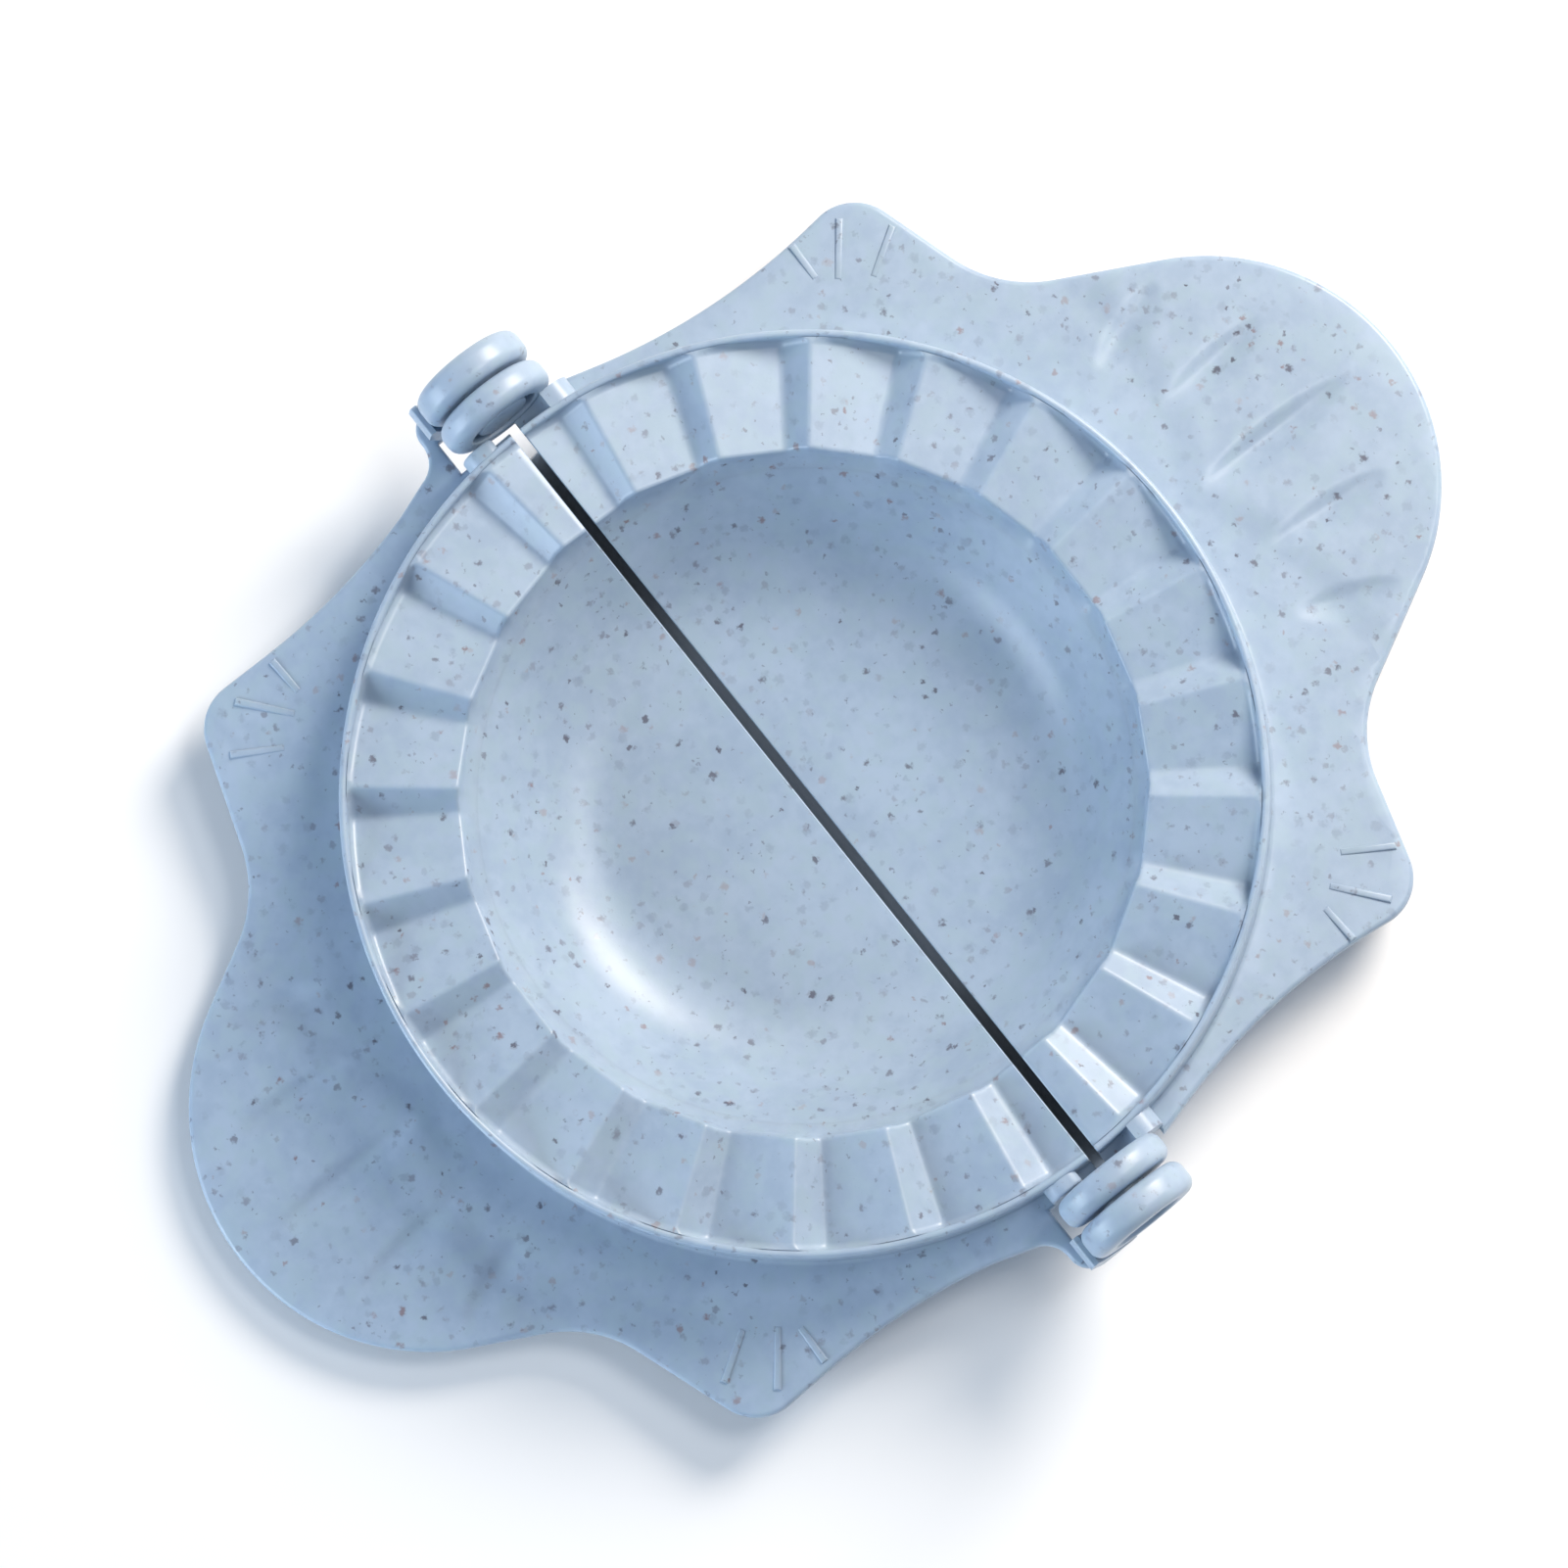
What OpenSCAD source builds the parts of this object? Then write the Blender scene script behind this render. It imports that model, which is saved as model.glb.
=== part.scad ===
// Hand press for dumplings and empanadas: two hinged half moulds with pleated rims and
// flat finger wings. It lies open on the table, with the hinge axis along X.
// The +Y half folds up and over onto the -Y half. Z = 0 is the table.

/* [Rim] */
// Outer diameter of the round pressing rim
rim_d = 94; // [92:1:98]
// Height of the hinge axis, which is also the mating plane, above the table
hinge_h = 16; // [15.5:0.5:18]
// Gap between the two halves along the hinge line when the press lies open
half_gap = 1.1; // [0.6:0.1:1.6]
// Thickness of the wall that drops from the rim to the table
wall_t = 1.6; // [1.2:0.1:1.8]
// Thickness of the lip that trims the dough
lip_t = 0.8; // [0.6:0.1:1]
// Distance from the lip's top down from the mating plane
lip_drop = 0.25; // [0.2:0.05:0.4]
// Height of the cutting edge that the press stands on
cutter_h = 3.6; // [3:0.2:3.8]
// Width of the cutting edge where it meets the table
cutter_edge_t = 0.6; // [0.5:0.1:0.8]

/* [Pleats] */
// Pleats in one full turn of the rim
pleat_count = 24; // [20:2:28]
// Height of a pleat from foot to crest, halfway across the ring
pleat_h = 2; // [1.4:0.1:2]
// Width of a pleat's steep side, halfway across the ring
ramp_w = 2.7; // [2.4:0.1:3]
// Radius of the flats that the pleats end on, next to the bowl
pleat_in_r = 34.6; // [34:0.2:36]
// Distance from the middle of the pleats down from the mating plane
pleat_drop = 1.5; // [1.5:0.05:1.7]
// Distance from the pleated ring's flat underside down from the mating plane
ring_drop = 4.2; // [4.2:0.1:4.6]

/* [Bowl] */
// Depth of the bowl's floor under the mating plane
bowl_depth = 13; // [12:0.2:13.4]
// Steepness of the bowl's wall, in degrees from the floor
bowl_slope = 48; // [44:1:52]
// Radius of the bend between the bowl's wall and floor
bowl_bend_r = 12; // [9:0.5:13]
// Thickness of the bowl
bowl_t = 1.6; // [1.4:0.1:1.8]

/* [Wings] */
// Thickness of the wings
wing_t = 2; // [1.6:0.1:2]
// Distance from the wing's top at the hinge line down from the hinge axis
wing_drop = 5; // [4.8:0.1:5]
// Fall of the wings away from the hinge line, in degrees
wing_slope = 6; // [5:0.5:6]
// Distance from the hinge line to the end of the folding half's wing
fold_reach = 75.7; // [75:0.1:76.5]
// Distance from the hinge line to the end of the other half's wing
base_reach = 74.8; // [74:0.1:75.5]
// Radius of the round lobe on the folding half's wing
fold_lobe_r = 23.8; // [23.4:0.1:24.2]
// Radius of the round lobe on the other half's wing
base_lobe_r = 24.9; // [24.5:0.1:25.3]
// Radius of the hollow between a lobe and a side tip
valley_r = 13.7; // [12:0.5:15]
// Radius of the side tips
tip_r = 5.2; // [4.5:0.1:5.5]
// Radius of the hollow side between a tip and the hinge
side_r = 68; // [60:2:68]
// Height of the thumb pad on each lobe
pad_t = 0.6; // [0.4:0.1:0.8]
// Depth of the flutes in the thumb pad
flute_depth = 0.5; // [0.3:0.1:0.5]
// Width of the flutes
flute_w = 3.2; // [2:0.2:3.6]
// Width of the fine ribs on the side tips
rib_w = 0.5; // [0.4:0.1:0.8]
// Height of the fine ribs on the side tips
rib_h = 0.35; // [0.2:0.05:0.5]

/* [Hinge] */
// Radius of the round hinge knuckles
knuckle_r = 6.3; // [6:0.1:6.4]
// Thickness of the inner knuckles, on the half that folds
inner_knuckle_t = 3.2; // [3:0.1:3.4]
// Thickness of the outer knuckles, on the half that stays down
outer_knuckle_t = 3.5; // [3.2:0.1:3.8]
// Gap beside each inner knuckle
knuckle_gap = 0.4; // [0.3:0.05:0.5]
// Rounding of the knuckles' rims
knuckle_round = 0.8; // [0.5:0.1:1.1]
// Space between the rim and the inner knuckle, which the arm fills
arm_t = 1.6; // [1.4:0.1:2]
// Radius of the hinge pins
pin_r = 2.5; // [2:0.1:2.6]
// Clearance round the hinge pins
pin_play = 0.08; // [0.05:0.01:0.1]
// Radius of the snap head at the end of each pin
pin_head_r = 3; // [2.8:0.1:3.1]
// Thickness of the snap heads
pin_head_t = 0.7; // [0.5:0.1:0.8]
// Radius of the recess that the snap heads sit in
recess_r = 4; // [3.6:0.1:4.2]
// Depth of the recess
recess_depth = 0.9; // [0.9:0.05:1.1]

/* [Hidden] */

$fn = 160;
blue = [0.70, 0.78, 0.89];
shade_blue = [0.62, 0.71, 0.84];
big = 200;                         // larger than the whole press
rim_r = rim_d / 2;
pleat_r = rim_r - lip_t;           // outer radius of the pleats, inside the lip
mid_r = (pleat_in_r + pleat_r) / 2;
pleat_angle = 360 / pleat_count;
flat_slope = pleat_h / (2 * PI * mid_r / pleat_count - ramp_w);
ramp_slope = pleat_h / ramp_w;
block_drop = pleat_drop + pleat_h / 2 + 0.25;   // just below every pleat's foot

// Hinge stations along X, measured from the middle outwards
inner_x0 = rim_r + arm_t;
inner_x1 = inner_x0 + inner_knuckle_t;
outer_x0 = inner_x1 + knuckle_gap;
outer_x1 = outer_x0 + outer_knuckle_t;
base_end_x = inner_x0 - knuckle_gap;   // the other half stops short of the inner knuckles
wing_clear_y = knuckle_r + 0.6;    // the wings leave the knuckles free up to here
neck_y = 8.3;                      // outer edge of the necks, seen from above
neck_r = 2.4;                      // rounding of the necks' outer corners
web_drop = 0.4;                    // arms and cheeks stop this far below the hinge axis
cheek_y0 = 2.4;                    // the cheeks stand between these distances
cheek_y1 = 6.2;                    // from the hinge line
dish_depth = 0.4;                  // shallow dish in each outer knuckle's outer face
pin_end_x = outer_x1 - 1.2;        // the pins are rooted up to here in the outer knuckles
head_end_gap = 0.05;               // between a snap head and the floor of its recess

// Right-hand side of each wing's outline, seen from above: the corners hinge, waist, tip
// and valley where its runs would meet, then the lobe's reach and radius
fold_outline = [[51.3, 0], [44.6, 23.7], [47.1, 42.5], [29.1, 47.8], fold_reach, fold_lobe_r];
base_outline = [[52.6, 0], [46.3, 24.1], [47, 43.6], [28, 50.2], base_reach, base_lobe_r];

// Fine ribs on the right-hand tip: outer end, inner end
tip_ribs = [[[41, 43.5], [38, 38.6]], [[45, 39.7], [40, 35.6]], [[45.8, 34.1], [41.5, 33.9]]];
// Flutes in the thumb pad: distance from the middle line, distance from the hinge line,
// length, and lean away from the middle line in degrees
flutes = [[0, 60.5, 17, 0], [9.3, 60.5, 13, 6], [17.5, 55.4, 9, 20]];
// Inner edge of the thumb pad, right-hand half
pad_edge = [[0, 48.6], [7, 52.2], [13, 53.6], [30, 54.6]];

function mirror_x(points) = [for (i = [len(points) - 1 : -1 : 0]) [-points[i].x, points[i].y]];

// Points of the arc that rounds the corner b of the path a-b-c with radius r
function corner_arc(a, b, c, r, steps) =
  let (u = (a - b) / norm(a - b), v = (c - b) / norm(c - b),
       half = acos(u * v) / 2,
       mid = (u + v) / norm(u + v),
       centre = b + mid * r / sin(half),
       start = b + u * r / tan(half) - centre,
       turn = sign(cross(u, v)) * (180 - 2 * half))
  [for (i = [0 : steps]) let (t = -turn * i / steps)
    centre + [start.x * cos(t) - start.y * sin(t), start.x * sin(t) + start.y * cos(t)]];

// ---------- shared shapes, all drawn for the +Y half ----------

// Keeps what lies on the +Y side, clear of the hinge line
module plus_y_half() {
  intersection() {
    children();
    translate([-big / 2, half_gap / 2, -big / 2]) cube([big, big, big]);
  }
}

// Turns a +Y shape into its twin on the -Y half
module opposite() { rotate([0, 0, 180]) children(); }

// Turned body: a profile of [radius, height from the hinge axis] spun about Z, one half kept
module half_turned(profile) {
  plus_y_half() translate([0, 0, hinge_h]) rotate_extrude() polygon(profile);
}

module half_bowl() {
  wall_dir = [cos(bowl_slope), sin(bowl_slope)];
  in_top = [pleat_in_r, -block_drop] - wall_dir * (ring_drop - block_drop) / sin(bowl_slope);
  in_corner = in_top - wall_dir * (bowl_depth - ring_drop) / sin(bowl_slope);
  out_top = in_top + [bowl_t / sin(bowl_slope), 0];
  out_corner = in_corner + [bowl_t * tan(bowl_slope / 2), -bowl_t];
  half_turned(concat(
    [[0, -bowl_depth]],
    corner_arc([0, -bowl_depth], in_corner, in_top, bowl_bend_r, 8),
    [in_top, out_top],
    corner_arc(out_top, out_corner, [0, -bowl_depth - bowl_t], bowl_bend_r + bowl_t, 8),
    [[0, -bowl_depth - bowl_t]]));
}

// One pleat: a gently rising flat that ends in a steep ramp
module pleat(k) {
  reach = 12;      // how far the flat's plane runs to each side
  tail = 7;        // the flat levels out beyond this, well past its foot
  crest = 6;       // the ramp levels out beyond this, well past its crest
  foot = 3.2;      // the ramp stops here, just past its foot
  length = 16;     // radial length before it is trimmed to the ring
  floor_z = -ring_drop;
  intersection() {
    rotate([0, 0, k * pleat_angle]) translate([pleat_in_r, 0, 0])
      rotate([90, 0, 90]) linear_extrude(length)
        polygon([[-reach, floor_z], [reach, floor_z],
                 [reach, flat_slope * reach - pleat_drop],
                 [-tail, -flat_slope * tail - pleat_drop],
                 [-reach, -flat_slope * tail - pleat_drop]]);
    rotate([0, 0, (k + 0.5) * pleat_angle]) translate([pleat_in_r - length / 2, 0, 0])
      rotate([90, 0, 90]) linear_extrude(2 * length)
        polygon([[-2 * reach, floor_z], [foot, floor_z], [foot, -ramp_slope * foot - pleat_drop],
                 [-crest, ramp_slope * crest - pleat_drop],
                 [-2 * reach, ramp_slope * crest - pleat_drop]]);
  }
}

module half_crimp_ring() {
  block_in_r = pleat_in_r - (ring_drop - block_drop) / tan(bowl_slope);
  plus_y_half() translate([0, 0, hinge_h]) {
    rotate_extrude() polygon([[block_in_r, -ring_drop], [pleat_r, -ring_drop],
                              [pleat_r, -block_drop], [pleat_in_r, -block_drop]]);
    intersection() {
      union() for (k = [0 : pleat_count / 2]) pleat(k);
      translate([0, 0, -ring_drop]) cylinder(r = pleat_r, h = ring_drop);
    }
  }
}

module half_trim_lip() {
  round_r = lip_t / 2;
  plus_y_half() translate([0, 0, hinge_h]) rotate_extrude() {
    translate([pleat_r, -ring_drop]) square([lip_t, ring_drop - lip_drop - round_r]);
    translate([pleat_r + round_r, -lip_drop - round_r]) circle(round_r);
  }
}

module half_rim_wall() {
  wall_in_r = rim_r - wall_t;
  half_turned([[wall_in_r, cutter_h - hinge_h], [rim_r, cutter_h - hinge_h],
               [rim_r, -ring_drop], [wall_in_r, -ring_drop]]);
}

module half_cutter_edge() {
  half_turned([[rim_r - wall_t, cutter_h - hinge_h], [rim_r - cutter_edge_t, -hinge_h],
               [rim_r, -hinge_h], [rim_r, cutter_h - hinge_h]]);
}

// Where the straight sides of a lobe would meet, beyond its end
function lobe_corner(outline) =
  let (valley = outline[3], r = outline[5],
       centre = [0, outline[4] - r],
       half = atan2(valley.x, centre.y - valley.y) - asin(r / norm(valley - centre)))
  [0, centre.y + r / sin(half)];

// Right-hand side of a wing's outline, from the hinge line to the foot of the lobe
function outline_side(outline) =
  concat([outline[0]],
         corner_arc(outline[0], outline[1], outline[2], side_r, 10),
         corner_arc(outline[1], outline[2], outline[3], tip_r, 8),
         corner_arc(outline[2], outline[3], lobe_corner(outline), valley_r, 8));

// Whole outline of one wing seen from above, from the hinge line out
module wing_outline(outline) {
  valley = outline[3];
  polygon(concat(
    outline_side(outline),
    corner_arc(valley, lobe_corner(outline), [-valley.x, valley.y], outline[5], 24),
    mirror_x(outline_side(outline))));
}

// Frame of the sloping wing: Z = 0 on its top, Y running down the slope
module on_wing() {
  translate([0, 0, hinge_h - wing_drop]) rotate([-wing_slope, 0, 0]) children();
}

// Cuts a layer out of an upright shape, between two heights above the wing's top
module wing_layer(low, high) {
  intersection() {
    linear_extrude(hinge_h + 10) children();
    on_wing() translate([-big / 2, -big / 8, low]) cube([big, big, high - low]);
  }
}

// Outline of one wing with the room cut out that the knuckles need
module notched_outline(outline, end_x) {
  difference() {
    wing_outline(outline);
    for (side = [0, 1]) mirror([side, 0]) translate([end_x, -1]) square([big, wing_clear_y + 1]);
  }
}

module half_wing(outline, end_x) {
  plus_y_half() difference() {
    wing_layer(-wing_t, 0) notched_outline(outline, end_x);
    translate([0, 0, -1]) cylinder(r = rim_r, h = hinge_h + 2);
  }
}

// Wide V-shaped wheel whose rim cuts one pointed flute into the pad
module flute_cutter(length) {
  wheel_r = length * length / (8 * flute_depth);
  spread = 5;      // how far the V runs on above the pad, in flute depths
  rotate([0, 90, 0]) rotate_extrude()
    polygon([[wheel_r, 0], [wheel_r - spread * flute_depth, spread * flute_w / 2],
             [wheel_r - spread * flute_depth, -spread * flute_w / 2]]);
}

module half_thumb_pad(outline) {
  difference() {
    wing_layer(0, pad_t) intersection() {
      wing_outline(outline);
      polygon(concat(mirror_x(pad_edge), pad_edge, [[34, big], [-34, big]]));
    }
    for (side = [0, 1], f = flutes) if (side == 0 || f[0] > 0) mirror([side, 0, 0])
      on_wing() translate([f[0], f[1], pad_t - flute_depth + f[2] * f[2] / (8 * flute_depth)])
        rotate([0, 0, -f[3]]) flute_cutter(f[2]);
  }
}

module half_tip_ribs() {
  wing_layer(0, rib_h) for (side = [0, 1], rib = tip_ribs) mirror([side, 0]) {
    run = rib[1] - rib[0];
    translate(rib[0]) rotate(atan2(run.y, run.x)) translate([0, -rib_w / 2]) square([norm(run), rib_w]);
  }
}

// ---------- hinge, drawn for the right-hand end of the +Y half ----------

// Cylinder on the hinge axis from x0 to x1
module on_axis(r, x0, x1) {
  translate([x0, 0, hinge_h]) rotate([0, 90, 0]) cylinder(r = r, h = x1 - x0);
}

// Round disc with rounded rims on the hinge axis
module knuckle_disc(x0, thickness) {
  f = knuckle_round;
  translate([x0, 0, hinge_h]) rotate([0, 90, 0]) rotate_extrude() {
    square([knuckle_r - f, thickness]);
    translate([0, f]) square([knuckle_r, thickness - 2 * f]);
    for (h = [f, thickness - f]) translate([knuckle_r - f, h]) circle(f);
  }
}

module inner_knuckle() {
  difference() {
    knuckle_disc(inner_x0, inner_knuckle_t);
    on_axis(pin_r + pin_play, inner_x0 - 1, inner_x1 + 1);
    on_axis(recess_r, inner_x0 - 1, inner_x0 + recess_depth);
  }
}

// The outer knuckle carries the pin, and its outer face has a shallow dish
module outer_knuckle() {
  difference() {
    knuckle_disc(outer_x0, outer_knuckle_t);
    on_axis(pin_r, outer_x0 - 1, pin_end_x);
    on_axis(recess_r, outer_x1 - dish_depth, outer_x1 + 1);
  }
}

module hinge_pin() {
  head_x1 = inner_x0 + recess_depth - head_end_gap;
  on_axis(pin_head_r, head_x1 - pin_head_t, head_x1);
  on_axis(pin_r, head_x1, pin_end_x);
}

// Upright block on the wing beside the rim, between two distances from the hinge line
module rim_block(end_x, y0, y1) {
  difference() {
    intersection() {
      translate([0, y0, 0]) cube([end_x, y1 - y0, hinge_h - web_drop]);
      on_wing() translate([0, -big / 8, 0]) cube([big, big, big]);
    }
    cylinder(r = rim_r, h = hinge_h);
  }
}

// Crescent web that joins the inner knuckle to the rim and stands on the wing
module fold_hinge_arm() {
  difference() {
    rim_block(inner_x0, half_gap / 2, half_gap / 2 + wing_clear_y);
    on_axis(recess_r + web_drop, 0, big);
  }
}

// Short upright cheek on the half that stays down, beside the inner knuckle
module base_cheek() { rim_block(base_end_x, cheek_y0, cheek_y1); }

// Neck that runs out from the wing and cradles the outer knuckle
module base_hinge_neck() {
  wing_side = [50.5, neck_y];
  outer_corner = [outer_x1, neck_y];
  saddle_y = neck_y - neck_r;
  difference() {
    union() {
      wing_layer(-wing_t, 0) difference() {
        polygon(concat(
          [[outer_x1, 2], [outer_x0, 2], [outer_x0, wing_clear_y], [base_end_x, wing_clear_y],
           [rim_r, 11]],
          corner_arc([49.8, 12], wing_side, outer_corner, 3, 6),
          corner_arc(wing_side, outer_corner, [outer_x1, 0], neck_r, 6)));
        notched_outline(base_outline, base_end_x);
      }
      translate([outer_x0, 0, hinge_h]) rotate([90, 0, 90]) linear_extrude(outer_knuckle_t)
        polygon([[1.5, -6], [4, -7.4], [saddle_y, -7.7], [saddle_y, -5.6], [7.4, -2.6],
                 [6.9, -1], [5, -1]]);
    }
    on_axis(knuckle_r, outer_x0 - 1, outer_x1 + 1);
  }
}

module left() { mirror([1, 0, 0]) children(); }

// ---------- nodes of the half that stays down (-Y) ----------
module base_bowl() { color(shade_blue) opposite() half_bowl(); }
module base_crimp_ring() { color(blue) opposite() half_crimp_ring(); }
module base_trim_lip() { color(blue) opposite() half_trim_lip(); }
module base_rim_wall() { color(shade_blue) opposite() half_rim_wall(); }
module base_cutter_edge() { color(shade_blue) opposite() half_cutter_edge(); }
module base_wing() { color(shade_blue) opposite() half_wing(base_outline, base_end_x); }
module base_thumb_pad() { color(blue) opposite() half_thumb_pad(base_outline); }
module base_tip_ribs() { color(blue) opposite() half_tip_ribs(); }
module base_hinge_neck_left() { color(shade_blue) opposite() base_hinge_neck(); }
module base_hinge_neck_right() { color(shade_blue) opposite() left() base_hinge_neck(); }
module base_cheek_left() { color(blue) opposite() base_cheek(); }
module base_cheek_right() { color(blue) opposite() left() base_cheek(); }
module outer_knuckle_left() { color(blue) left() outer_knuckle(); }
module outer_knuckle_right() { color(blue) outer_knuckle(); }
module hinge_pin_left() { color(shade_blue) left() hinge_pin(); }
module hinge_pin_right() { color(shade_blue) hinge_pin(); }

// ---------- nodes of the half that folds over (+Y) ----------
module fold_bowl() { color(shade_blue) half_bowl(); }
module fold_crimp_ring() { color(blue) half_crimp_ring(); }
module fold_trim_lip() { color(blue) half_trim_lip(); }
module fold_rim_wall() { color(shade_blue) half_rim_wall(); }
module fold_cutter_edge() { color(shade_blue) half_cutter_edge(); }
module fold_wing() { color(shade_blue) half_wing(fold_outline, inner_x0); }
module fold_thumb_pad() { color(blue) half_thumb_pad(fold_outline); }
module fold_tip_ribs() { color(blue) half_tip_ribs(); }
module fold_hinge_arm_left() { color(blue) left() fold_hinge_arm(); }
module fold_hinge_arm_right() { color(blue) fold_hinge_arm(); }
module inner_knuckle_left() { color(blue) left() inner_knuckle(); }
module inner_knuckle_right() { color(blue) inner_knuckle(); }

base_bowl();
base_crimp_ring();
base_trim_lip();
base_rim_wall();
base_cutter_edge();
base_wing();
base_thumb_pad();
base_tip_ribs();
base_hinge_neck_left();
base_hinge_neck_right();
base_cheek_left();
base_cheek_right();
outer_knuckle_left();
outer_knuckle_right();
hinge_pin_left();
hinge_pin_right();
fold_bowl();
fold_crimp_ring();
fold_trim_lip();
fold_rim_wall();
fold_cutter_edge();
fold_wing();
fold_thumb_pad();
fold_tip_ribs();
fold_hinge_arm_left();
fold_hinge_arm_right();
inner_knuckle_left();
inner_knuckle_right();
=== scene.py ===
"""Hand press for filled pastries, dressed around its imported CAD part.

Metres, +Z up. The press lies open on the table with its hinge axis along X. Both half moulds
are drawn in millimetres on the +Y side, with heights measured from the hinge axis where they
belong to the turned rim. The half that stays down is the same drawing given half a turn.
"""

import math
from collections import namedtuple

import bmesh
import bpy
from bmesh.types import BMEdge, BMFace, BMVert
from mathutils import Matrix, Vector


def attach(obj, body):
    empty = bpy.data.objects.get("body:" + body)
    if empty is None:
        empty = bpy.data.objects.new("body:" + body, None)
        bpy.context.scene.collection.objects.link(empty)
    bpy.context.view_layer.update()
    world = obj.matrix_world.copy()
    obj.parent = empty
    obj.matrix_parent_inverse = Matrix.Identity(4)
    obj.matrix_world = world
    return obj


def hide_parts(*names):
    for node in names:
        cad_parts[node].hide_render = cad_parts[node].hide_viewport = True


MM = 0.001
X, Y, Z = Vector((1, 0, 0)), Vector((0, 1, 0)), Vector((0, 0, 1))
ORIGIN = (0, 0, 0)
TINY = 1e-4             # smaller differences than this are rounding errors

# ---------- sizes of the press, in millimetres, as in the CAD part ----------
# A drop is a distance down from the mating plane, which lies at the hinge axis's height.
HINGE_H = 16.0
HALF_CUT_Y = 0.55       # each half starts this far from the hinge line

# Rim
RIM_R = 47.0
WALL_T = 1.6
LIP_T = 0.8
LIP_DROP = 0.25
RING_DROP = 4.2         # flat underside of the pleated ring
CUTTER_H = 3.6
CUTTER_EDGE_T = 0.6

# Pleats
PLEATS = 24
PITCH = 360 / PLEATS    # degrees from one pleat to the next
PLEAT_H = 2.0
RAMP_W = 2.7            # width of a pleat's steep side, halfway across the ring
PLEAT_IN_R = 34.6
PLEAT_OUT_R = RIM_R - LIP_T
PLEAT_DROP = 1.5        # middle of the pleats
PLEAT_MID_R = (PLEAT_IN_R + PLEAT_OUT_R) / 2
FLAT_SLOPE = PLEAT_H / (2 * math.pi * PLEAT_MID_R / PLEATS - RAMP_W)
RAMP_SLOPE = PLEAT_H / RAMP_W
BLOCK_DROP = 2.75       # where the bowl's slope reaches the radius of the pleats' inner ends

# Bowl
BOWL_DEPTH = 13.0
BOWL_SLOPE = math.radians(48)
BOWL_BEND_R = 12.0
BOWL_T = 1.6

# Wings
WING_T = 2.0
WING_DROP = 5.0
WING_FALL = math.tan(math.radians(6))
SIDE_R = 68.0           # hollow side between the hinge and a tip
VALLEY_R = 13.7         # hollow between a tip and the lobe
TIP_R = 5.2
WING_CLEAR_Y = 6.9      # the wings stay this far from the hinge line beside the knuckles
BASE_END_X = 48.2       # the base wing ends here beside the inner knuckle

# Corners of a wing's right-hand side where its straight runs would meet, and its lobe
Outline = namedtuple("Outline", "hinge waist tip valley reach lobe_r")
FOLD_OUTLINE = Outline((51.3, 0), (44.6, 23.7), (47.1, 42.5), (29.1, 47.8), 75.7, 23.8)
BASE_OUTLINE = Outline((52.6, 0), (46.3, 24.1), (47.0, 43.6), (28.0, 50.2), 74.8, 24.9)

# Neck that carries the outer knuckle, and the corner where it runs into the wing's side
NECK_Y0, NECK_Y1 = 2, 8.3
NECK_R = 2.4
NECK_CORNER = (50.5, NECK_Y1)
NECK_CORNER_R = 3.0
NECK_SIDE = (49.8, 12)

# Knuckles and pin, on the right-hand side
INNER_X0, INNER_X1 = 48.6, 51.8
OUTER_X0, OUTER_X1 = 52.2, 55.7
KNUCKLE_R = 6.3
PIN_R = 2.5
PIN_PLAY = 0.08
PIN_END_X = 54.5
RECESS_R = 4.0          # hollow in a knuckle's end face, where the pin's head sits
RECESS_DEPTH = 0.9

# Hinge arms and cheeks, which stand between the rim and the inner knuckle
WEB_X0 = 46.4
WEB_FOOT_Z = -6.5       # from the hinge axis
WEB_DROP = 0.4
CHEEK_Y0, CHEEK_Y1 = 2.4, 6.2

# ---------- sizes that are finer than in the CAD part, in millimetres ----------
PAD_RISE = 0.3
PAD_SOFT = (-0.6, 3.4)  # the pad rises between these distances in from its edge
# Thumb pad's edge: distance from the middle line, distance from the hinge line
PAD_EDGE = ((0, 48.6), (7, 52.2), (13, 53.6), (30, 54.6))
# Flutes: distance from the middle line, distance from the hinge line, length, lean in degrees
FLUTES = ((0, 60.5, 18.5, 0), (9.6, 60, 14, 5), (18, 55.6, 11, 20))
FLUTE_DEPTH = 0.75      # of the middle one, which is the longest and deepest
FLUTE_STEEP_W, FLUTE_GENTLE_W = 1.8, 3.0    # from the bottom up to either edge
FLUTE_POINT = 0.6       # below 1 a flute keeps its width for longer towards its ends
FLUTE_END = 0.02        # share of its depth at which a flute has run out

# Fine ribs on the right-hand tip: outer end, inner end
TIP_RIBS = (((41, 43.5), (38, 38.6)), ((45, 39.7), (40, 35.6)), ((45.8, 34.1), (41.5, 33.9)))
RIB_W, RIB_H, RIB_SUNK = 0.8, 0.26, 0.3
RIB_FADE = 0.7          # share of its height that a rib loses towards its inner end
RIB_ROUND = 0.25

# Softening of moulded edges
WING_ROUND = 0.5
CREST_SOFT = 0.28
FOOT_SOFT = 0.4
LIP_FILLET = 0.8
LIP_FILLET_DROP = 0.12  # the fillet ends this far below the lip's top
INNER_ROUND = 0.4
CUT_CHAMFER = 0.12
KNUCKLE_ROUND = 1.2
WEB_ROUND = 2.2
CHEEK_INNER_ROUND = 0.9
CHEEK_ROUND = 0.3

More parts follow.
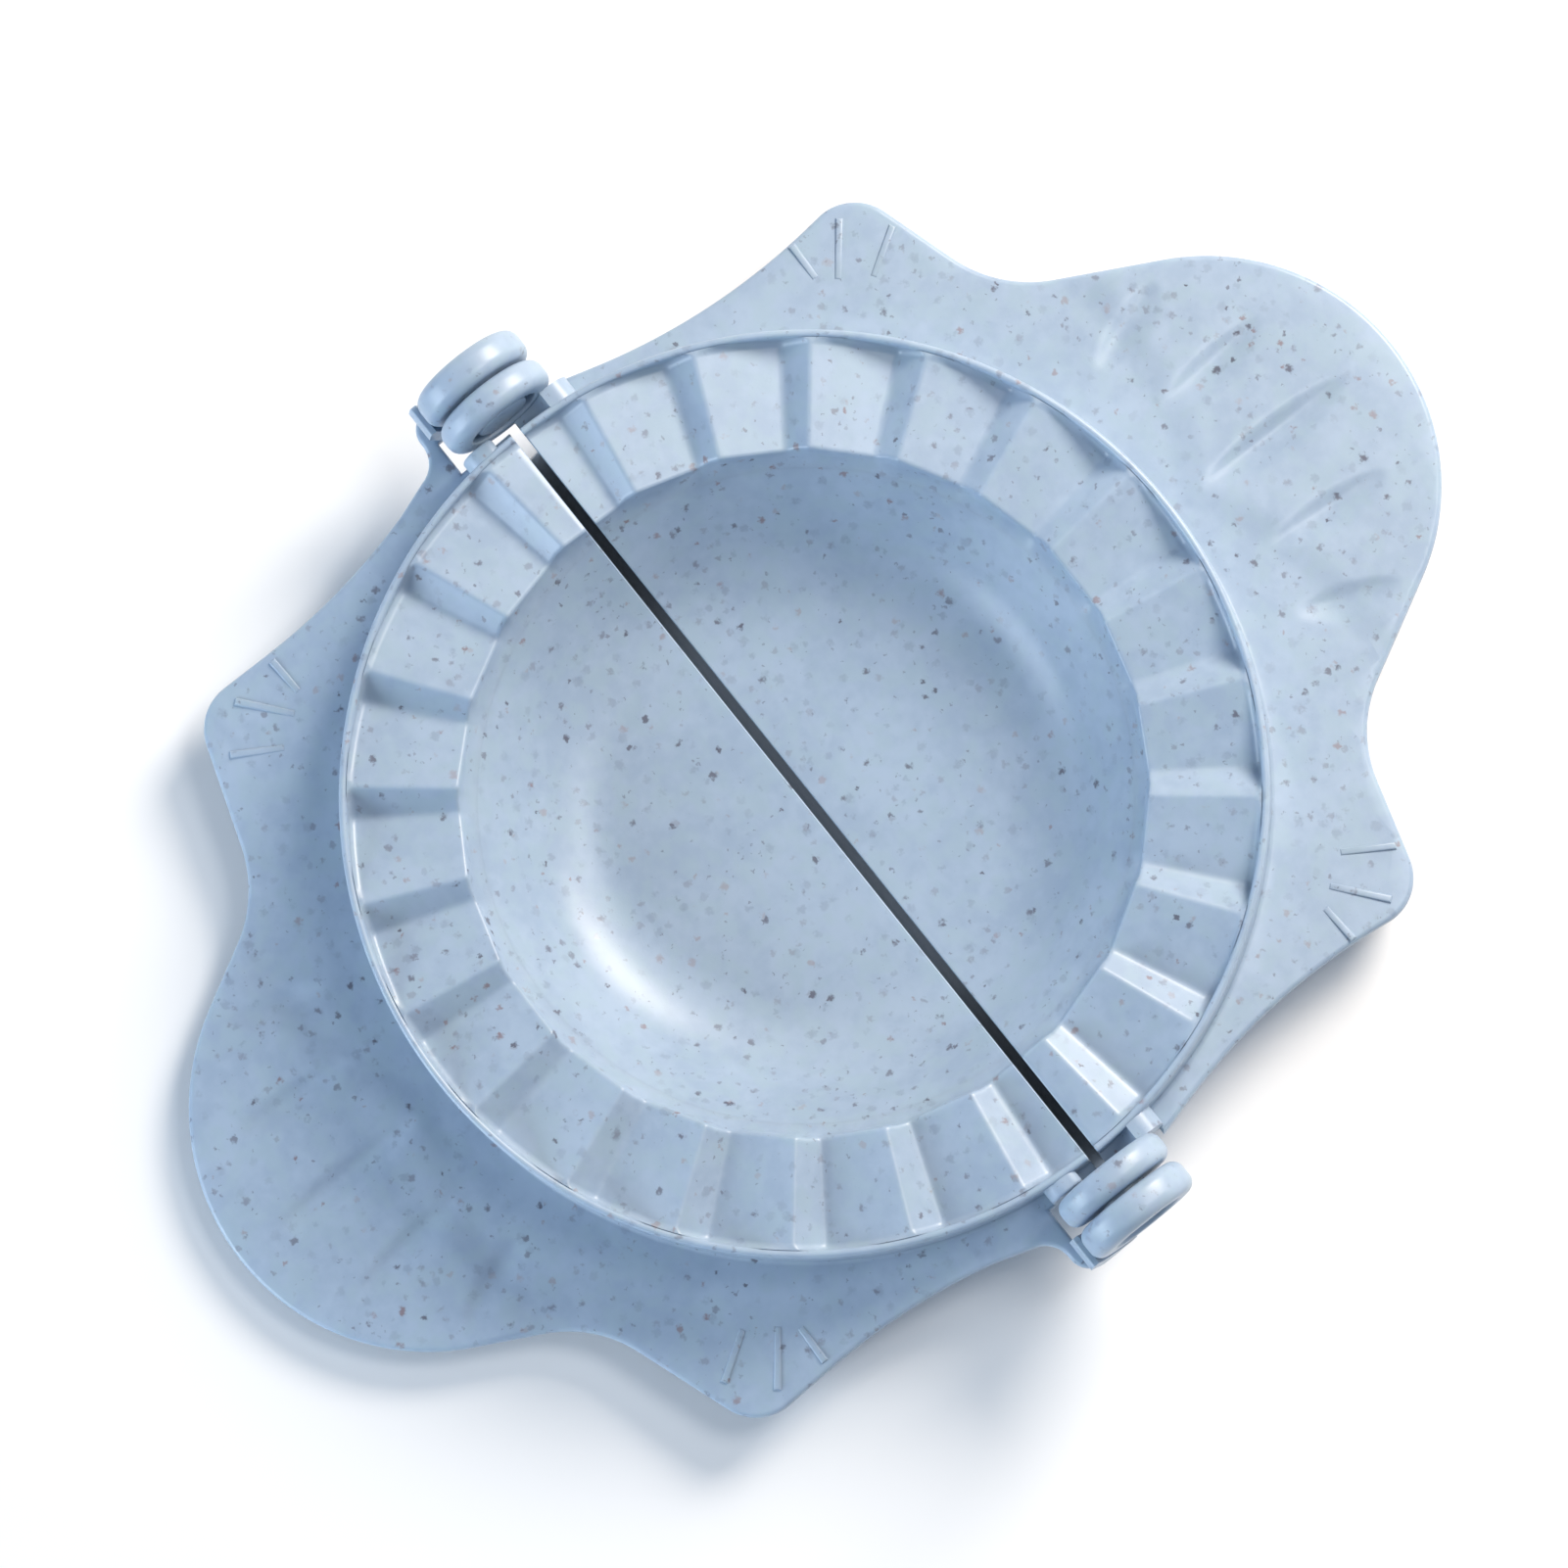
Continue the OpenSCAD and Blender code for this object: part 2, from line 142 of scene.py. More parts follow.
# ---------- mesh steps ----------
LEAD = 3                # degrees that a half is drawn past each end, before it is trimmed
BOWL_STEPS = 120        # in half a turn
RIM_STEPS = 160
ROOT_STEPS = 150        # along the wing's round edge at the rim
LOBE_STEPS = 64
WING_EDGE_ROWS = (0.03, 0.1, 0.2, 0.34, WING_ROUND)     # distances in from a wing's edge
PAD_Y0, PAD_Y1 = 47.4, 70.4     # strip of the wing that holds the thumb pad's relief
PAD_GRID = 0.45
PAD_GRID_HALF = 50      # fine columns on each side of the middle line
SMOOTH_ANGLE = math.radians(40)     # edges that bend by more are shaded sharp


# ---------- drawing ----------

def only(kind, found):
    """The vertices, edges or faces among what an operator gives back."""
    return [item for item in found if isinstance(item, kind)]


def unique(items):
    return list(dict.fromkeys(items))


def everything(bm):
    return bm.verts[:] + bm.edges[:] + bm.faces[:]


def move(bm, offset, verts=None):
    bmesh.ops.translate(bm, verts=verts or bm.verts[:], vec=offset)


def turn_about_z(bm, angle, verts=None):
    bmesh.ops.rotate(bm, verts=verts or bm.verts[:], cent=ORIGIN,
                     matrix=Matrix.Rotation(angle, 3, "Z"))


def spin(bm, geom, axis, angle, steps, centre=ORIGIN, merge=False):
    """Carries geometry round an axis and fills in what it passes over."""
    return bmesh.ops.spin(
        bm, geom=geom, cent=centre, dvec=(0, 0, 0), axis=axis, angle=angle, steps=steps,
        use_merge=merge, use_normal_flip=False, use_duplicate=False)


def face_outwards(bm):
    bmesh.ops.recalc_face_normals(bm, faces=bm.faces[:])


def fill_outline(bm):
    """Makes one face of all the edges drawn so far."""
    return bmesh.ops.contextual_create(bm, geom=bm.edges[:])["faces"][0]


def extrude_to(bm, face, offset):
    out = bmesh.ops.extrude_face_region(bm, geom=[face])
    move(bm, offset, only(BMVert, out["geom"]))
    face_outwards(bm)


def soften(bm, edges, radius, segments=3):
    """Rounds edges, and gives back what the rounding made."""
    return bmesh.ops.bevel(
        bm, geom=edges, offset=radius, offset_type="OFFSET", segments=segments, profile=0.5,
        affect="EDGES", material=-1, clamp_overlap=True)


def slice_faces(bm, faces, normal, places):
    """Cuts faces along a row of parallel planes and gives back the faces they become."""
    for place in places:
        verts = unique(v for f in faces for v in f.verts)
        edges = unique(e for f in faces for e in f.edges)
        out = bmesh.ops.bisect_plane(
            bm, geom=verts + edges + faces, dist=TINY, plane_co=normal * place,
            plane_no=normal)
        faces = only(BMFace, out["geom"])
    return faces


def part_at(faces, y):
    """Faces nearer to the hinge line than y, and faces beyond it."""
    near = [f for f in faces if f.calc_center_median().y < y]
    return near, [f for f in faces if f.calc_center_median().y > y]


def steps_between(low, high, gap):
    count = max(1, round((high - low) / gap))
    return [low + (high - low) * i / count for i in range(1, count)]


def smooth_min(a, b, blend):
    h = max(blend - abs(a - b), 0) / blend
    return min(a, b) - h * h * blend / 4


def smooth_max(a, b, blend):
    return -smooth_min(-a, -b, blend)


def smooth_step(low, high, value):
    t = min(max((value - low) / (high - low), 0), 1)
    return t * t * (3 - 2 * t)


def quarter_round(radius, distance):
    """Fall of a rounded edge at a distance in from it."""
    left = min(max(radius - distance, 0), radius)
    return radius - math.sqrt(radius ** 2 - left ** 2)


class Path:
    """A run of edges drawn with straight lines and arcs, and closed into a face."""

    def __init__(self, bm, across, up):
        self.bm, self.across, self.up = bm, across, up
        self.first = self.last = None

    def place(self, point):
        return self.across * point[0] + self.up * point[1]

    def to(self, *points):
        for point in points:
            vert = self.bm.verts.new(self.place(point))
            if self.last:
                self.bm.edges.new((self.last, vert))
            else:
                self.first = vert
            self.last = vert

    def turn(self, centre, angle, steps):
        """Carries the line round a centre by an angle in radians."""
        out = spin(self.bm, [self.last], self.across.cross(self.up), angle, steps,
                   centre=self.place(centre))
        self.last = only(BMVert, out["geom_last"])[0]

    def corner(self, before, at, after, radius, steps):
        """Rounds the corner at the middle point of three."""
        a, b, c = Vector(before), Vector(at), Vector(after)
        u, v = (a - b).normalized(), (c - b).normalized()
        half = u.angle(v) / 2
        centre = b + (u + v).normalized() * (radius / math.sin(half))
        self.to(b + u * (radius / math.tan(half)))
        side = u.x * v.y - u.y * v.x
        self.turn(centre, -math.copysign(math.pi - 2 * half, side), steps)

    def close(self):
        self.bm.edges.new((self.last, self.first))

    def face(self):
        self.close()
        return fill_outline(self.bm)


# ---------- turned shapes of the +Y half ----------

def trim_at_hinge_line(bm):
    """Ends a half where the halves part, closes it and breaks the sharp edges of the cut."""
    bmesh.ops.bisect_plane(
        bm, geom=everything(bm), dist=1e-5, plane_co=Y * (HALF_CUT_Y + CUT_CHAMFER),
        plane_no=-Y, clear_outer=True)
    caps = bmesh.ops.holes_fill(bm, edges=[e for e in bm.edges if e.is_boundary], sides=0)
    face_outwards(bm)
    bmesh.ops.inset_region(
        bm, faces=caps["faces"], thickness=CUT_CHAMFER, depth=CUT_CHAMFER,
        use_even_offset=True, use_boundary=True)


def half_turned(bm, steps):
    """Spins the drawn profile half a turn about Z, past both ends of the half."""
    lead = math.radians(LEAD)
    turn_about_z(bm, -lead)
    spin(bm, everything(bm), Z, math.pi + 2 * lead, steps)
    trim_at_hinge_line(bm)
    move(bm, Z * HINGE_H)


def bowl(bm):
    """Dished half bowl, from the underside of the pleated ring down to its floor."""
    wall = Vector((math.cos(BOWL_SLOPE), math.sin(BOWL_SLOPE)))
    top = Vector((PLEAT_IN_R, -BLOCK_DROP)) - wall * (RING_DROP - BLOCK_DROP) / wall.y
    corner = top - wall * (BOWL_DEPTH - RING_DROP) / wall.y
    out_top = top + Vector((BOWL_T / wall.y, 0))
    out_corner = corner + Vector((BOWL_T * math.tan(BOWL_SLOPE / 2), -BOWL_T))
    near_axis = 0.3
    floor, underside = (near_axis, -BOWL_DEPTH), (near_axis, -BOWL_DEPTH - BOWL_T)
    path = Path(bm, X, Z)
    path.to(floor)
    path.corner(floor, corner, top, BOWL_BEND_R, steps=14)
    path.to(top, out_top)
    path.corner(out_top, out_corner, underside, BOWL_BEND_R + BOWL_T, steps=14)
    path.to(underside)
    path.face()
    half_turned(bm, BOWL_STEPS)


def trim_lip(bm):
    """Thin upright lip round the pleats, with a round top."""
    round_z = -LIP_DROP - LIP_T / 2
    path = Path(bm, X, Z)
    path.to((PLEAT_OUT_R, -RING_DROP), (RIM_R, -RING_DROP), (RIM_R, round_z))
    path.turn((RIM_R - LIP_T / 2, round_z), math.pi, steps=10)
    path.face()
    half_turned(bm, RIM_STEPS)


def rim_wall(bm):
    """Wall from the pleated ring down to the cutting edge."""
    low, inner_r = CUTTER_H - HINGE_H, RIM_R - WALL_T
    path = Path(bm, X, Z)
    path.to((inner_r, low), (RIM_R, low), (RIM_R, -RING_DROP), (inner_r, -RING_DROP))
    path.face()
    half_turned(bm, RIM_STEPS)


def cutter_edge(bm):
    """Tapered edge that the press stands on, with a round tip."""
    high = CUTTER_H - HINGE_H
    tip = (RIM_R - CUTTER_EDGE_T / 2, -HINGE_H + CUTTER_EDGE_T / 2)
    path = Path(bm, X, Z)
    path.to((RIM_R - WALL_T, high), (RIM_R - CUTTER_EDGE_T, tip[1]))
    path.turn(tip, math.pi, steps=8)
    path.to((RIM_R, high))
    path.face()
    half_turned(bm, RIM_STEPS)


def pleat_height(r, degrees):
    """Height of the pleats' top from the hinge axis: gentle flats that end in steep ramps."""
    start = math.floor(degrees / PITCH) * PITCH

    def plane(slope, centre):
        return slope * r * math.sin(math.radians(degrees - centre)) - PLEAT_DROP

    flat, ramp, following = (plane(FLAT_SLOPE, start), plane(-RAMP_SLOPE, start + PITCH / 2),
                             plane(FLAT_SLOPE, start + PITCH))
    return smooth_max(smooth_min(flat, ramp, CREST_SOFT), following, FOOT_SOFT)


def pleat_columns():
    """Angles of the ring's columns, closest together where the pleats bend."""
    half_pitch = math.radians(PITCH / 2)
    crest = math.degrees(math.atan(
        RAMP_SLOPE * math.sin(half_pitch)
        / (FLAT_SLOPE + RAMP_SLOPE * math.cos(half_pitch))))
    foot = PITCH - crest
    offsets = [crest + d for d in (-0.8, -0.5, -0.25, 0, 0.25, 0.5, 0.8)]
    offsets += [foot + d for d in (-1.0, -0.65, -0.3, 0, 0.3, 0.65, 1.0)]
    offsets += [0, 1.7, 3.3, PITCH / 2, PITCH - 3.3, PITCH - 1.7]
    angles = sorted(k * PITCH + d for k in range(-1, PLEATS // 2 + 1) for d in offsets)
    return [a for a in angles if -LEAD < a < 180 + LEAD]


def crimp_ring(bm):
    """The pleated ring, with rounded crests and feet and a fillet that runs up to the lip."""
    width = PLEAT_OUT_R - PLEAT_IN_R
    marked = -PLEAT_DROP        # rows drawn at this height are the pleats' top
    rows = [0, 0.04, 0.12, 0.25, 0.42, 0.6, 0.8]
    rows += [2.5, 4.5, 6.5, 8.5]
    rows += [width - d for d in (0.8, 0.6, 0.4, 0.24, 0.128, 0.048, 0)]
    lean = 0.25                 # of the pleats' inner ends, on their way down to the bowl
    block_r = PLEAT_IN_R - (RING_DROP - BLOCK_DROP) / math.tan(BOWL_SLOPE)
    path = Path(bm, X, Z)
    path.to((block_r, -RING_DROP), (PLEAT_OUT_R, -RING_DROP))
    path.to(*[(PLEAT_OUT_R - row, marked) for row in rows])
    path.to((PLEAT_IN_R - lean, -BLOCK_DROP - lean * math.tan(BOWL_SLOPE)))
    path.close()
    angles = pleat_columns()
    turn_about_z(bm, math.radians(angles[0]))
    edges = bm.edges[:]
    for here, there in zip(angles, angles[1:]):
        out = bmesh.ops.extrude_edge_only(bm, edges=edges)
        verts = only(BMVert, out["geom"])
        new = set(verts)
        edges = [e for e in only(BMEdge, out["geom"])
                 if e.verts[0] in new and e.verts[1] in new]
        turn_about_z(bm, math.radians(there - here), verts)
    fillet_top = -LIP_DROP - LIP_FILLET_DROP
    for v in bm.verts:
        if abs(v.co.z - marked) > TINY:
            continue
        drawn_r = math.hypot(v.co.x, v.co.y)
        degrees = math.degrees(math.atan2(v.co.y, v.co.x))
        if degrees < -90:
            degrees += 360
        from_flat = math.radians(degrees - PITCH * round(degrees / PITCH))
        chord_r = PLEAT_IN_R / math.cos(from_flat)
        r = PLEAT_OUT_R + (chord_r - PLEAT_OUT_R) * (PLEAT_OUT_R - drawn_r) / width
        z = pleat_height(r, degrees)
        raised = z + quarter_round(LIP_FILLET, PLEAT_OUT_R - r)
        z = min(raised, max(z, fillet_top)) - quarter_round(INNER_ROUND, r - chord_r)
        v.co = (v.co.x * r / drawn_r, v.co.y * r / drawn_r, z)
    trim_at_hinge_line(bm)
    move(bm, Z * HINGE_H)


# ---------- wings, drawn for the +Y half ----------

def draw_corners(path, corners, sign):
    """A run of rounded corners: outwards on the right, back inwards on the left."""
    if sign < 0:
        corners = [(c, b, a, r, n) for a, b, c, r, n in reversed(corners)]
    for a, b, c, r, n in corners:
        path.corner((a[0] * sign, a[1]), (b[0] * sign, b[1]), (c[0] * sign, c[1]), r, n)


def lobe_corner(outline):
    """Where the straight sides of a lobe would meet, beyond its end."""
    valley, r = Vector(outline.valley), outline.lobe_r
    centre = Vector((0, outline.reach - r))
    half = (math.atan2(valley.x, centre.y - valley.y)
            - math.asin(r / (valley - centre).length))
    return (0, centre.y + r / math.sin(half))


def draw_wing_side(path, outline, sign):
    """One side of a wing's outline, between its root and its lobe."""
    hinge, waist, tip, valley = outline[:4]
    draw_corners(path, [(hinge, waist, tip, SIDE_R, 20), (waist, tip, valley, TIP_R, 14),
                        (tip, valley, lobe_corner(outline), VALLEY_R, 18)], sign)


def draw_wing_root(path, outline, sign, necked):
    """The end of a wing beside the hinge, from the rim out to where its side begins."""
    rim_x = math.sqrt(RIM_R ** 2 - HALF_CUT_Y ** 2)
    if necked:
        plan = [(rim_x, HALF_CUT_Y), (BASE_END_X, HALF_CUT_Y), (BASE_END_X, WING_CLEAR_Y),
                (OUTER_X0, WING_CLEAR_Y), (OUTER_X0, NECK_Y0), (OUTER_X1, NECK_Y0)]
        end = (OUTER_X1, NECK_Y1)
        corners = [((OUTER_X1, 0), end, NECK_CORNER, NECK_R, 8),
                   (end, NECK_CORNER, NECK_SIDE, NECK_CORNER_R, 8)]
    else:
        hinge, waist = outline[:2]
        edge_x = hinge[0] + (waist[0] - hinge[0]) * WING_CLEAR_Y / waist[1]
        plan = [(rim_x, HALF_CUT_Y), (INNER_X0, HALF_CUT_Y), (INNER_X0, WING_CLEAR_Y),
                (edge_x, WING_CLEAR_Y)]
        corners = []
    if sign > 0:
        path.to(*plan)
    draw_corners(path, corners, sign)
    if sign < 0:
        path.to(*[(-x, y) for x, y in reversed(plan)])


def flute_depth(x, y, steep_side):
    """Depth of the deepest flute at a place; each has one steep flank and pointed ends."""
    depth = 0
    for mid_x, mid_y, length, lean in FLUTES:
        for side in ((1, -1) if mid_x else (1,)):
            angle = math.radians(lean)
            dx, dy = side * x - mid_x, y - mid_y
            along = dx * math.sin(angle) + dy * math.cos(angle)
            across = dx * math.cos(angle) - dy * math.sin(angle)
            fullness = 1 - (2 * along / length) ** 2
            if fullness < FLUTE_END:
                continue
            steep = across * side * steep_side > 0
            width = FLUTE_STEEP_W if steep else FLUTE_GENTLE_W
            spread = min(abs(across / width) / fullness ** FLUTE_POINT, 1)
            deepest = FLUTE_DEPTH * fullness * length / FLUTES[0][2]
            depth = max(depth, deepest * (0.5 + 0.5 * math.cos(math.pi * spread)))
    return depth


def pad_rise(x, y):
    """Height of the thumb pad over the wing, with its soft edge."""
    edge_y = PAD_EDGE[-1][1]
    slope = 0
    for (x0, y0), (x1, y1) in zip(PAD_EDGE, PAD_EDGE[1:]):
        if x0 <= abs(x) <= x1:
            slope = (y1 - y0) / (x1 - x0)
            edge_y = y0 + slope * (abs(x) - x0)
    return PAD_RISE * smooth_step(*PAD_SOFT, (y - edge_y) / math.hypot(1, slope))


def cut_wing_top(bm, top):
    """Cuts a wing's top face into a coarse grid, and a fine one where the relief is."""
    near, far = part_at(slice_faces(bm, [top], Y, [*range(4, 48, 4), PAD_Y0]), PAD_Y0)
    slice_faces(bm, near, X, [-48, -44, -40, -36, -30, -20, -10, 0, 10, 20, 30, 36, 40, 44, 48])
    far = slice_faces(bm, far, Y, steps_between(PAD_Y0, PAD_Y1, PAD_GRID) + [PAD_Y1])
    pad, end = part_at(far, PAD_Y1)
    slice_faces(bm, end, X, range(-12, 13, 4))
    fine = [i * PAD_GRID for i in range(-PAD_GRID_HALF, PAD_GRID_HALF + 1)]
    slice_faces(bm, pad, X, [-44, -38, -32, -28, -25, *fine, 25, 28, 32, 38, 44])


def on_wing_slope(bm):
    """Tips a flat drawing onto the wing's slope, with its plan kept."""
    bmesh.ops.transform(bm, verts=bm.verts[:], matrix=Matrix((
        (1, 0, 0, 0), (0, 1, 0, 0), (0, -WING_FALL, 1, HINGE_H - WING_DROP), (0, 0, 0, 1))))


def wing(bm, outline, necked):
    """Flat finger wing with a thumb pad: rounded edges, and a fillet where it meets the rim."""
    valley = outline.valley
    path = Path(bm, X, Y)
    draw_wing_root(path, outline, 1, necked)
    draw_wing_side(path, outline, 1)
    path.corner(valley, lobe_corner(outline), (-valley[0], valley[1]), outline.lobe_r,
                LOBE_STEPS)
    draw_wing_side(path, outline, -1)
    draw_wing_root(path, outline, -1, necked)
    path.turn(ORIGIN, -(math.pi - 2 * math.asin(HALF_CUT_Y / RIM_R)), ROOT_STEPS)
    bmesh.ops.remove_doubles(bm, verts=bm.verts[:], dist=1e-3)
    thickness = WING_T * math.hypot(1, WING_FALL)
    extrude_to(bm, fill_outline(bm), Z * -thickness)

    def low_outer(edge):
        mid = (edge.verts[0].co + edge.verts[1].co) / 2
        clear_of_rim = math.hypot(mid.x, mid.y) > RIM_R + 0.3
        sharp = edge.calc_face_angle(0) > 0.5
        return mid.z < -thickness + TINY and clear_of_rim and sharp
    soften(bm, [e for e in bm.edges if low_outer(e)], WING_ROUND)

    top = max((f for f in bm.faces if f.calc_center_median().z > -TINY),
              key=lambda f: f.calc_area())
    from_edge = bm.verts.layers.float.new("from_edge")
    reached = 0
    for distance in WING_EDGE_ROWS:
        bmesh.ops.inset_region(bm, faces=[top], thickness=distance - reached, depth=0,
                               use_even_offset=True, use_boundary=True)
        reached = distance
        for v in top.verts:
            v[from_edge] = distance
    cut_wing_top(bm, top)
    # The base wing is given half a turn later, after which both wings' steep flanks face -X
    steep_side = 1 if necked else -1
    for v in bm.verts:
        if v.co.z < -TINY:
            continue
        x, y = v.co.x, v.co.y
        from_rim = math.hypot(x, y) - RIM_R
        if y > PAD_Y0:
            v.co.z += pad_rise(x, y) - flute_depth(x, y, steep_side)
        if from_rim < WING_ROUND:
            v.co.z += quarter_round(WING_ROUND, max(from_rim, 0))
        else:
            v.co.z -= quarter_round(WING_ROUND, v[from_edge])
    on_wing_slope(bm)


def tip_ribs(bm):
    """Fine raised ribs that fade out towards the press."""
    for side in (1, -1):
        for outer, inner in TIP_RIBS:
            start, end = Vector((outer[0] * side, outer[1])), Vector((inner[0] * side, inner[1]))
            run, middle = end - start, (start + end) / 2
            box = bmesh.ops.create_cube(bm, size=1)["verts"]
            bmesh.ops.scale(bm, verts=box, vec=(run.length, RIB_W, RIB_H + RIB_SUNK))
            move(bm, Z * (RIB_H - RIB_SUNK) / 2, box)
            for v in box:
                if v.co.x > 0 and v.co.z > 0:
                    v.co.z -= RIB_H * RIB_FADE
            edges = unique(e for v in box for e in v.link_edges
                           if e.verts[0].co.z > 0 and e.verts[1].co.z > 0)
            out = soften(bm, edges, RIB_ROUND, segments=4)
            rib = unique([v for v in box if v.is_valid] + list(out["verts"]))
            turn_about_z(bm, math.atan2(run.y, run.x), rib)
            move(bm, (middle.x, middle.y, 0), rib)
    on_wing_slope(bm)


# ---------- hinge, drawn on the right-hand side of the +Y half ----------

def lathe(bm, steps=72):
    """Spins the drawn line about the hinge axis and closes it."""
    spin(bm, bm.verts[:] + bm.edges[:], X, 2 * math.pi, steps, merge=True)
    bmesh.ops.remove_doubles(bm, verts=bm.verts[:], dist=TINY)
    face_outwards(bm)
    move(bm, Z * HINGE_H)


def knuckle_rounds(path, x0, x1):
    """A knuckle's outside, rounded at both ends, from x1 back to x0."""
    ends = (x1, 0), (x1, KNUCKLE_R), (x0, KNUCKLE_R), (x0, 0)
    path.corner(*ends[:3], KNUCKLE_ROUND, steps=6)
    path.corner(*ends[1:], KNUCKLE_ROUND, steps=6)


def inner_knuckle(bm):
    """Bored knuckle, with a recess for the pin's head in its inner end."""
    bore = PIN_R + PIN_PLAY
    recess_x = INNER_X0 + RECESS_DEPTH
    path = Path(bm, X, Z)
    path.to((recess_x, bore), (INNER_X1, bore))
    knuckle_rounds(path, INNER_X0, INNER_X1)
    path.corner((INNER_X0, KNUCKLE_R), (INNER_X0, RECESS_R), (recess_x, RECESS_R), 0.2, steps=3)
    path.to((recess_x, RECESS_R))
    path.close()
    lathe(bm)


def outer_knuckle(bm):
    """Solid knuckle with a dished end face, hollowed where the pin is moulded on."""
    dish = 0.4
    dish_x, dish_r = OUTER_X1 - dish, RECESS_R - dish / 2
    path = Path(bm, X, Z)
    path.to((dish_x, 0), (dish_x, dish_r))
    path.corner((dish_x, dish_r), (OUTER_X1, RECESS_R), (OUTER_X1, KNUCKLE_R), 0.3, steps=4)
    knuckle_rounds(path, OUTER_X0, OUTER_X1)
    path.to((OUTER_X0, PIN_R), (PIN_END_X, PIN_R), (PIN_END_X, 0))
    lathe(bm)


def hinge_pin(bm):
    """Pin with a snap head that sits in the inner knuckle's recess."""
    head_r, head_t = 3.0, 0.7
    head_x1 = INNER_X0 + RECESS_DEPTH - 0.05
    head_x0 = head_x1 - head_t
    path = Path(bm, X, Z)
    path.to((head_x0, 0))
    path.corner((head_x0, 0), (head_x0, head_r), (head_x1, head_r), 0.35, steps=4)
    path.to((head_x1, head_r), (head_x1, PIN_R), (PIN_END_X, PIN_R), (PIN_END_X, 0))
    lathe(bm)


def hinge_arm(bm):
    """Crescent web between the rim and the inner knuckle."""
    hole_r = RECESS_R + WEB_DROP
    far_y = HALF_CUT_Y + WING_CLEAR_Y
    drop = math.asin(WEB_DROP / hole_r)
    end = math.acos(HALF_CUT_Y / hole_r)
    path = Path(bm, Y, Z)
    path.to((HALF_CUT_Y, WEB_FOOT_Z), (far_y, WEB_FOOT_Z))
    path.corner((far_y, WEB_FOOT_Z), (far_y, -WEB_DROP), (0, -WEB_DROP), WEB_ROUND, steps=10)
    path.to((hole_r * math.cos(drop), -WEB_DROP))
    path.turn((0, 0), drop - end, steps=14)
    extrude_to(bm, path.face(), X * (INNER_X0 - WEB_X0))
    move(bm, (WEB_X0, 0, HINGE_H))


def cheek(bm):
    """Short upright cheek beside the inner knuckle."""
    thickness = BASE_END_X - WEB_X0
    corners = ((CHEEK_Y1, WEB_FOOT_Z), (CHEEK_Y1, -WEB_DROP), (CHEEK_Y0, -WEB_DROP),
               (CHEEK_Y0, WEB_FOOT_Z))
    path = Path(bm, Y, Z)
    path.to(corners[3], corners[0])
    path.corner(*corners[:3], WEB_ROUND, steps=10)
    path.corner(*corners[1:], CHEEK_INNER_ROUND, steps=6)
    extrude_to(bm, path.face(), X * thickness)
    soften(bm, [e for e in bm.edges
                if min(v.co.x for v in e.verts) > thickness - TINY
                and max(v.co.z for v in e.verts) > WEB_FOOT_Z + TINY], CHEEK_ROUND)
    move(bm, (WEB_X0, 0, HINGE_H))


def neck_saddle(bm):
    """Cradle that carries the outer knuckle on the wing's neck."""
    first, last = math.radians(-9.1), math.radians(-75)
    saddle_y = NECK_Y1 - NECK_R
    top_in, top_out, back, foot = (6.2, -1), (6.9, -1), (7.4, -2.6), (saddle_y, -5.6)
    path = Path(bm, Y, Z)
    path.to((KNUCKLE_R * math.cos(last), KNUCKLE_R * math.sin(last)))
    path.turn((0, 0), first - last, steps=12)
    path.corner(top_in, top_out, back, 0.3, steps=4)
    path.corner(top_out, back, foot, 1.2, steps=5)
    path.to((saddle_y, -7.7), (4, -7.4))
    extrude_to(bm, path.face(), X * (OUTER_X1 - OUTER_X0))
    move(bm, (OUTER_X0, 0, HINGE_H))


# ---------- materials ----------

DEEP_BLUE, PALE_BLUE = (0.315, 0.405, 0.525, 1), (0.365, 0.460, 0.580, 1)
GREEN_BLUE = (0.345, 0.455, 0.530, 1)
SUNK_GREY = (0.17, 0.20, 0.27, 1)
STRAW_GREY, STRAW_BLACK = (0.19, 0.16, 0.19, 1), (0.085, 0.08, 0.11, 1)
CRUMB_GREY = (0.13, 0.12, 0.16, 1)
STRAW_TAN, STRAW_RED = (0.33, 0.25, 0.25, 1), (0.21, 0.12, 0.12, 1)
TABLE_GREY, TABLE_PALE = (0.90, 0.90, 0.90, 1), (0.93, 0.93, 0.93, 1)


class Value:
    """A number socket that can be used in Python sums, which add its Math nodes."""

    def __init__(self, kit, socket):
        self.kit, self.socket = kit, socket

    def _math(self, operation, *values):
        return self.kit.node("ShaderNodeMath", {"operation": operation}, values).value()

    def __add__(self, other):
        return self._math("ADD", self, other)

    def __radd__(self, other):
        return self._math("ADD", other, self)

    def __sub__(self, other):
        return self._math("SUBTRACT", self, other)

    def __rsub__(self, other):
        return self._math("SUBTRACT", other, self)

    def __mul__(self, other):
        return self._math("MULTIPLY", self, other)

    def __rmul__(self, other):
        return self._math("MULTIPLY", other, self)

    def __truediv__(self, other):
        return self._math("DIVIDE", self, other)

    def __lt__(self, other):
        return self._math("LESS_THAN", self, other)


class Made:
    """A node that has been added, for picking its outputs."""

    def __init__(self, kit, node):
        self.kit, self.node = kit, node

    def out(self, name=0):
        return self.node.outputs[name]

    def value(self, name=0):
        return Value(self.kit, self.node.outputs[name])


